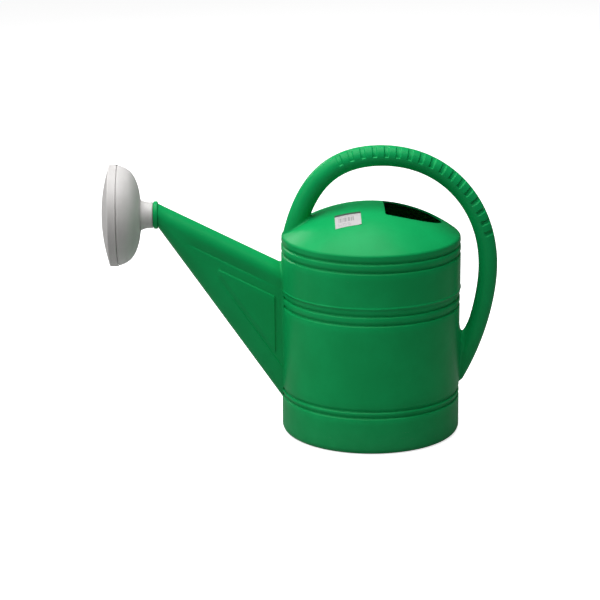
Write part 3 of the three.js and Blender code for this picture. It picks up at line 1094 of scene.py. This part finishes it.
    def build(self) -> Piece:
        """Models the fin and blends its root into the drum."""
        root = Root(radius=2.6, start=-100.0, settled=self.far, longest=6.0)
        front, rear = self.panel_front, self.panel_rear
        places = [
            *np.arange(self.tip, front - 1.5, 3.8),
            *np.arange(front - 1.0, front + 12.0, 1.5),
            *np.linspace(front + 14.0, rear - 3.0, 16),
            *(rear + step for step in (-1.1, -0.5, 0.25)),
        ]
        rings = [self.slice_at(x) for x in places]
        rings += list(root.rings(self.form, self.columns, 7, 3)[::-1][1:])
        fin = loft("spout_fin", np.array(rings))
        seal(fin, 0.001)
        finish_with(fin, "SOLIDIFY", thickness=self.wall * MM, offset=-1.0, use_rim=True)
        smooth(fin, 32)
        return fin

    def build_nozzle(self) -> Piece:
        """Models the collar bead and the spigot that the rose is pushed on to."""
        face = self.tip - self.collar_width
        end = face - self.nozzle_length
        tip, collar, spigot, bore = self.tip, self.collar_radius, self.nozzle_radius, self.bore
        front, back, break_edge = self.collar_front, self.collar_back, self.mouth_edge
        outline = [(tip, bore), (end + break_edge, bore), (end, bore + break_edge)]
        outline += [(end, spigot - 1.4), (end + 1.6, spigot - 0.2), (end + 3.0, spigot)]
        outline += [(face, spigot), (face, collar - front)]
        outline += arc((face + front, collar - front), front, -90, 0, 6)[1:]
        outline += [(tip - 2.2, collar)] + arc((tip - 2.2, collar - back), back, 0, 80, 5)[1:]
        outline += [(tip - 0.2, collar - 3.2), (tip, collar - 4.2), (tip, bore)]
        nozzle = turn("spout_nozzle_skin", outline, Axis.NOSE, 72, self.nose)
        smooth(nozzle, 40)
        return nozzle


@dataclass
class Handle:
    """The arched tube from the dome's front over the mouth and down to the drum behind.

    Args:
        form: The tank that it grows out of.
    """

    form: TankForm
    rise: float = 103.9
    crown_x: float = 11.85
    radius: float = 13.7
    rear_radius: float = 12.3
    rear_gap: float = 24.0
    bend_below_rim: float = 44.0
    front_inset: float = 15.3
    front_lean: float = 0.24
    rear_root: Pair = (110.0, 70.7)
    rear_lean: float = 0.52
    fullness: float = 0.59
    rear_fullness: float = 0.418
    bend_fullness: float = 0.57
    grooves: int = 17
    first_groove: float = 116.8
    pitch: float = 14.65
    groove_half: float = 3.4
    groove_depth: float = 1.9
    groove_reach: tuple[float, float, float, float] = (4.0, 30.0, 86.0, 91.0)
    groove_edge: float = 1.4
    groove_rings: tuple[float, ...] = (1.8, 2.2, 2.6, 2.95, 3.3, 3.7, 4.1, 5.4)
    ring_gap: float = 3.6
    taper_run: float = 11.0
    columns_round: int = 72

    def __post_init__(self) -> None:
        """Works out the centreline and its lengths."""
        front = np.array([-self.form.radius + self.front_inset, self.form.rim])
        crown = np.array([self.crown_x, self.form.rim + self.rise])
        reach = self.form.radius + self.rear_gap + self.rear_radius
        back = np.array([reach, self.form.rim - self.bend_below_rim])
        root = np.array(self.rear_root)
        pull = self.fullness * (crown[0] - front[0])
        fall = self.fullness * (back[0] - crown[0])
        last = self.rear_fullness * (back[1] - root[1])
        lean = np.array([math.sin(self.front_lean), math.cos(self.front_lean)])
        stand = np.array([math.sin(self.rear_lean), math.cos(self.rear_lean)])
        curves = [
            (front, front + pull * lean, crown - [pull, 0], crown),
            (crown, crown + [fall, 0], back + [0, fall], back),
            (back, back - [0, self.bend_fullness * last], root + last * stand, root),
        ]
        t = np.linspace(0, 1, 241)[:, None]
        parts = [
            a * (1 - t) ** 3 + 3 * b * t * (1 - t) ** 2 + 3 * c * t**2 * (1 - t) + d * t**3
            for a, b, c, d in curves
        ]
        line = np.vstack([parts[0], parts[1][1:], parts[2][1:]])
        steps = np.linalg.norm(np.diff(line, axis=0), axis=1)
        self.lengths = np.concatenate([[0], np.cumsum(steps)])
        self.line = line
        self.total = float(self.lengths[-1])
        self.last_groove = self.first_groove + (self.grooves - 1) * self.pitch
        tangent = np.gradient(line, self.lengths, axis=0)
        self.tangent = tangent / np.linalg.norm(tangent, axis=1)[:, None]

    def columns(self, places: Array) -> Array:
        """One point per column, each at its own length along the tube.

        Args:
            places: Length of each column, or one value for a count only.

        Returns:
            Rows of x, y, z.
        """
        angles = np.linspace(0, 2 * math.pi, self.columns_round, endpoint=False)
        places = np.broadcast_to(places, angles.shape)
        x, z = (np.interp(places, self.lengths, self.line[:, k]) for k in (0, 1))
        tx, tz = (np.interp(places, self.lengths, self.tangent[:, k]) for k in (0, 1))
        low, high = self.first_groove - self.taper_run, self.last_groove + self.taper_run
        taper = step_up(places, low, high)
        radius = self.radius + (self.rear_radius - self.radius) * taper
        turned = np.abs(np.degrees((angles + math.pi) % (2 * math.pi) - math.pi))
        begin, full, hold, end = self.groove_reach
        around = step_up(turned, begin, full) * (1 - step_up(turned, hold, end))
        index = np.round((places - self.first_groove) / self.pitch)
        index = np.clip(index, 0, self.grooves - 1)
        away = np.abs(places - self.first_groove - index * self.pitch)
        across = 1 - step_up(away, self.groove_half - self.groove_edge, self.groove_half)
        radius = radius - self.groove_depth * around * across
        out = radius * np.cos(angles)
        return np.column_stack([x - tz * out, radius * np.sin(angles), z + tx * out])

    def stations(self) -> list[float]:
        """Lengths of the square rings between the two roots."""
        front = list(np.arange(52.0, self.first_groove - 5, self.ring_gap))
        offsets = [-s for s in self.groove_rings[::-1]] + [0.0, *self.groove_rings]
        centres = [self.first_groove + k * self.pitch for k in range(self.grooves)]
        middle = [centre + offset for centre in centres for offset in offsets]
        rear = list(np.arange(self.last_groove + 9.0, self.total - 114.0, self.ring_gap))
        return front + middle + rear

    def build(self) -> Piece:
        """Models the tube with its finger grooves and blends both ends into the tank."""
        first = Root(radius=4.2, start=0.0, settled=50.0)
        last = Root(radius=8.6, start=self.total, settled=self.total - 112.0, longest=56.0)
        front = first.rings(self.form, self.columns, 9, 8)
        rear = last.rings(self.form, self.columns, 10, 12)[::-1]
        places = [np.full(self.columns_round, station) for station in self.stations()]
        middle = np.array([self.columns(place) for place in places])
        tube = loft("handle_tube", np.vstack([front, middle, rear]))
        seal(tube, 0.001)
        smooth(tube, 50)
        return tube


@dataclass
class Label:
    """The small paper label stuck on the front of the dome.

    Args:
        form: The dome that it lies on.
    """

    form: TankForm
    centre: Pair = (-31.5, -46.0)
    width: float = 33.0
    length: float = 34.0
    thickness: float = 0.2
    gap: float = 0.12
    curl: float = 0.8
    steps: int = 24

    def build(self) -> Piece:
        """Models the sheet: a grid laid on the dome and given its thickness."""
        cells = {"x_subdivisions": self.steps, "y_subdivisions": self.steps}
        label = start_piece("paper_label_sheet", "grid", size=1.0, **cells)
        flat = points_of(label) * MM
        x = self.centre[0] + flat[:, 0] * self.width
        y = self.centre[1] + flat[:, 1] * self.length
        z = self.form.cap_centre + np.sqrt((self.form.cap + self.gap) ** 2 - x**2 - y**2)
        z += self.curl * step_up(flat[:, 0] - flat[:, 1], 0.85, 1.0)
        place_points(label, np.column_stack([x, y, z]))
        seal(label)
        finish_with(label, "SOLIDIFY", thickness=self.thickness * MM, offset=1.0, use_rim=True)
        smooth(label, 40)
        return label


# ---------------------------------------------------------------- the rose


@dataclass
class Rose:
    """The push-on sprinkler rose: its neck, the dished housing and the perforated face.

    Args:
        nose: Height of the nozzle's axis.
    """

    nose: float = 290.5
    neck_start: float = -281.1
    neck_end: float = -296.6
    neck_bore: float = 14.8
    housing_back: float = -296.9
    seam: float = -325.4
    seam_gap: float = 0.6
    housing_radius: float = 64.6
    face_radius: float = 65.6
    face_edge: float = 1.6
    plug_depth: float = 6.0
    skirt: float = 11.0
    bulge: float = 10.0
    wall: float = 2.0
    hole_radius: float = 1.0
    hole_pitch: float = 9.6
    hole_rings: int = 5
    holes_per_ring: int = 6
    pin_length: float = 22.0
    notch: Pair = (4.6, 1.5)
    steps: int = 112

    def build_neck(self) -> Piece:
        """Models the neck, which widens towards the housing."""
        start, end, bore = self.neck_start, self.neck_end, self.neck_bore
        knots = [(start - 0.8, 16.9), (-284.0, 16.85), (-287.5, 16.95), (-290.5, 17.5)]
        knots += [(-293.5, 18.3), (-295.4, 19.2), (end, 19.9)]
        outline = [(start, bore), (start, 16.2)] + curve_through(knots, 5)
        outline += [(end, bore), (start, bore)]
        neck = turn("rose_neck_skin", outline, Axis.NOSE, 72, self.nose)
        smooth(neck, 40)
        return neck

    def build_housing(self) -> Piece:
        """Models the dished back, thin-walled and open at the seam."""
        rim, back, wall, bore = self.housing_radius, self.housing_back, self.wall, self.neck_bore
        knots = [(back, 20.8), (-297.6, 25.0), (-299.0, 33.5), (-301.4, 42.0), (-304.6, 49.4)]
        knots += [(-309.4, 56.2), (-315.5, rim - 3.7), (-321.0, rim - 1.2)]
        outer = curve_through([*knots, (self.seam + 0.6, rim - 0.1)], 6)
        inner = [(x - wall * 0.9, r - wall * 0.75) for x, r in curve_through(knots, 4)][1:]
        outline = [(back, bore)] + outer + [(self.seam, rim - 0.3), (self.seam, rim - wall)]
        outline += [(x, min(r, rim - wall)) for x, r in inner[::-1]]
        outline += [(back - wall, bore), (back, bore)]
        housing = turn("rose_housing_skin", outline, Axis.NOSE, self.steps, self.nose)
        smooth(housing, 40)
        return housing

    def build_face(self) -> Piece:
        """Models the face plate with its skirt, plug ring, spray holes and the two pry notches."""
        back = self.seam - self.seam_gap
        front = back - self.skirt
        span = self.face_radius - 2.2
        cap = (span**2 + self.bulge**2) / (2 * self.bulge)
        middle = front - self.bulge + cap
        reach = math.degrees(math.asin(span / cap))
        plug = self.housing_radius - self.wall - 0.3
        rim, edge = self.face_radius, self.face_edge
        outline = [(back, plug), (back, rim - 0.5), (back - 0.5, rim), (front + edge, rim)]
        outline += arc((front + edge, rim - edge), edge, 0, -65, 5)[1:]
        outline += arc((middle, 0.0), cap, reach - 90, -90, 26)
        inside = math.degrees(math.asin((plug - self.wall) / (cap - self.wall)))
        outline += arc((middle, 0.0), cap - self.wall, -90, inside - 90, 12)
        end = back + self.plug_depth
        outline += [(end, plug - self.wall), (end, plug - 0.5), (end - 0.5, plug), (back, plug)]
        face = turn("rose_face_skin", outline, Axis.NOSE, self.steps, self.nose)
        carve(face, self.pins(front))
        for side in (-1, 1):
            cutter = start_piece("pry_notch_cutter", "cube", size=1.0)
            wide, deep = self.notch
            corners = points_of(cutter) * MM * np.array([2 * deep, wide, 2 * deep])
            place_points(cutter, corners + np.array([back, 0.0, self.nose + side * rim]))
            carve(face, cutter)
        seal(face, 0.001)
        smooth(face, 35)
        return face

    def pins(self, front: float) -> Piece:
        """All the spray holes' cutters as one object."""
        deselect()
        for ring in range(self.hole_rings + 1):
            count = max(1, ring * self.holes_per_ring)
            for k in range(count):
                angle = (k + 0.5 * (ring % 2)) / count * 2 * math.pi
                reach = ring * self.hole_pitch
                y, z = reach * math.cos(angle), self.nose + reach * math.sin(angle)
                bpy.ops.mesh.primitive_cylinder_add(
                    vertices=10,
                    radius=self.hole_radius * MM,
                    depth=self.pin_length * MM,
                    location=Vector((front - 4.0, y, z)) * MM,
                    rotation=(0, math.pi / 2, 0),
                )
                bpy.context.active_object.name = "spray_pin"
        pins = [o for o in bpy.data.objects if o.name.startswith("spray_pin")]
        for pin in pins:
            pin.select_set(True)
        bpy.context.view_layer.objects.active = pins[0]
        bpy.ops.object.join()
        joined = bpy.context.active_object
        focus(joined)
        bpy.ops.object.transform_apply(location=True, rotation=True, scale=True)
        return joined


# ---------------------------------------------------------------- the studio


@dataclass(frozen=True)
class Softbox:
    """A square area light.

    Args:
        name: Its name.
        place: Where it is, in metres.
        size: Its side, in metres.
        power: Its power in watts.
    """

    name: str
    place: Triple
    size: float
    power: float

    def hang(self, aim: Triple) -> None:
        """Hangs the light, pointing at a place given in metres."""
        lamp = bpy.data.lights.new(self.name, "AREA")
        lamp.shape = "SQUARE"
        lamp.size = self.size
        lamp.energy = self.power
        holder = bpy.data.objects.new(self.name, lamp)
        bpy.context.scene.collection.objects.link(holder)
        holder.location = self.place
        line = Vector(self.place) - Vector(aim)
        holder.rotation_euler = line.to_track_quat("Z", "Y").to_euler()


@dataclass(frozen=True)
class Studio:
    """The camera, the pale floor and the soft lights. Camera in millimetres, lights in metres."""

    eye: Triple = (-146.0, -2883.4, 988.4)
    aim: Triple = (-92.28, 0.0, 174.63)
    roll: float = -0.339
    lens: float = 137.94
    sky: float = 0.06
    lit: Triple = (-0.05, 0.0, 0.2)
    lights: tuple[Softbox, ...] = (
        Softbox("overhead_softbox", (-0.45, -0.2, 2.3), 2.4, 70.0),
        Softbox("left_softbox", (-2.7, -1.0, 1.5), 1.5, 11.0),
        Softbox("back_softbox", (-1.5, 2.0, 1.5), 0.9, 12.0),
    )
    floor_glow: float = 0.8
    floor_seen: Triple = (0.98, 0.98, 0.98)
    floor_bounce: Triple = (0.38, 0.38, 0.38)

    def build(self) -> None:
        """Sets the scene's camera, floor, lights and surroundings."""
        self.place_camera()
        self.lay_floor()
        for softbox in self.lights:
            softbox.hang(self.lit)
        world = bpy.data.worlds.new("studio_white")
        world.use_nodes = True
        back = world.node_tree.nodes["Background"]
        back.inputs[0].default_value = (1.0, 1.0, 1.0, 1.0)
        back.inputs[1].default_value = self.sky
        scene = bpy.context.scene
        scene.world = world
        scene.view_settings.view_transform = "Standard"

    def place_camera(self) -> None:
        """Creates the camera and looks through it."""
        camera = bpy.data.objects.new("studio_camera", bpy.data.cameras.new("studio_camera"))
        bpy.context.scene.collection.objects.link(camera)
        eye, aim = Vector(self.eye), Vector(self.aim)
        forward = (aim - eye).normalized()
        right = forward.cross(Vector((0, 0, 1))).normalized()
        up = right.cross(forward)
        a = math.radians(self.roll)
        side = math.cos(a) * right + math.sin(a) * up
        head = math.cos(a) * up - math.sin(a) * right
        turned = Matrix((side, head, -forward)).transposed().to_4x4()
        camera.matrix_world = Matrix.Translation(eye * MM) @ turned
        camera.data.lens = self.lens
        camera.data.sensor_width = 36.0
        camera.data.clip_end = 60.0
        bpy.context.scene.camera = camera

    def lay_floor(self) -> None:
        """Lays the plain pale floor."""
        floor = start_piece("studio_floor", "plane", size=40.0, location=(0.0, 12.0, 0.0))
        material, tree, surface = new_material("studio_floor_white", 0.0)
        surface["Roughness"].default_value = 0.9
        seen = tree.nodes.new("ShaderNodeLightPath").outputs["Is Camera Ray"]
        colour = mix(tree, seen, self.floor_bounce, self.floor_seen)
        tree.links.new(colour, surface["Base Color"])
        surface["Emission Color"].default_value = (1.0, 1.0, 1.0, 1.0)
        glow = times(tree, seen, self.floor_glow)
        tree.links.new(glow, surface["Emission Strength"])
        floor.data.materials.append(material)


# ---------------------------------------------------------------- assembly


def dress(
    piece: Piece, material: bpy.types.Material, body: str, nodes: Sequence[str]
) -> None:
    """Gives a piece its finish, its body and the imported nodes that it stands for.

    Args:
        piece: The finished piece.
        material: Its finish.
        body: The body that it rides on.
        nodes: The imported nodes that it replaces.
    """
    piece.data.materials.clear()
    piece.data.materials.append(material)
    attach(piece, body)
    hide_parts(*nodes)
    LOG.info("%s: %d faces on %s", piece.name, len(piece.data.polygons), body)


def main() -> None:
    """Builds the studio and then every piece in order."""
    logging.basicConfig(level=logging.INFO, format="%(message)s")
    Studio().build()
    effects = Effects()
    green = GREEN.make(effects)
    grey = GREY.make(effects)
    form = TankForm()
    label = Label(form)
    paper = LabelPaper("label_paper", label.centre, label.width, label.length).make(effects)
    spout = Spout(form)
    rose = Rose(spout.nose)
    tank_nodes = ("tank_base", "tank_wall", "domed_top")
    handle_nodes = ("handle_front_arm", "handle_grip", "handle_rear_arm")
    dress(Tank(form).build(spout.water_way()), green, "can", tank_nodes)
    dress(spout.build(), green, "can", ("spout",))
    dress(spout.build_nozzle(), green, "can", ("spout_nozzle",))
    dress(Handle(form).build(), green, "can", handle_nodes)
    dress(label.build(), paper, "can", ("paper_label",))
    dress(rose.build_neck(), grey, "neck", ("rose_neck",))
    dress(rose.build_housing(), grey, "housing", ("rose_housing",))
    dress(rose.build_face(), grey, "face", ("rose_face",))


if __name__ == "__main__":
    main()
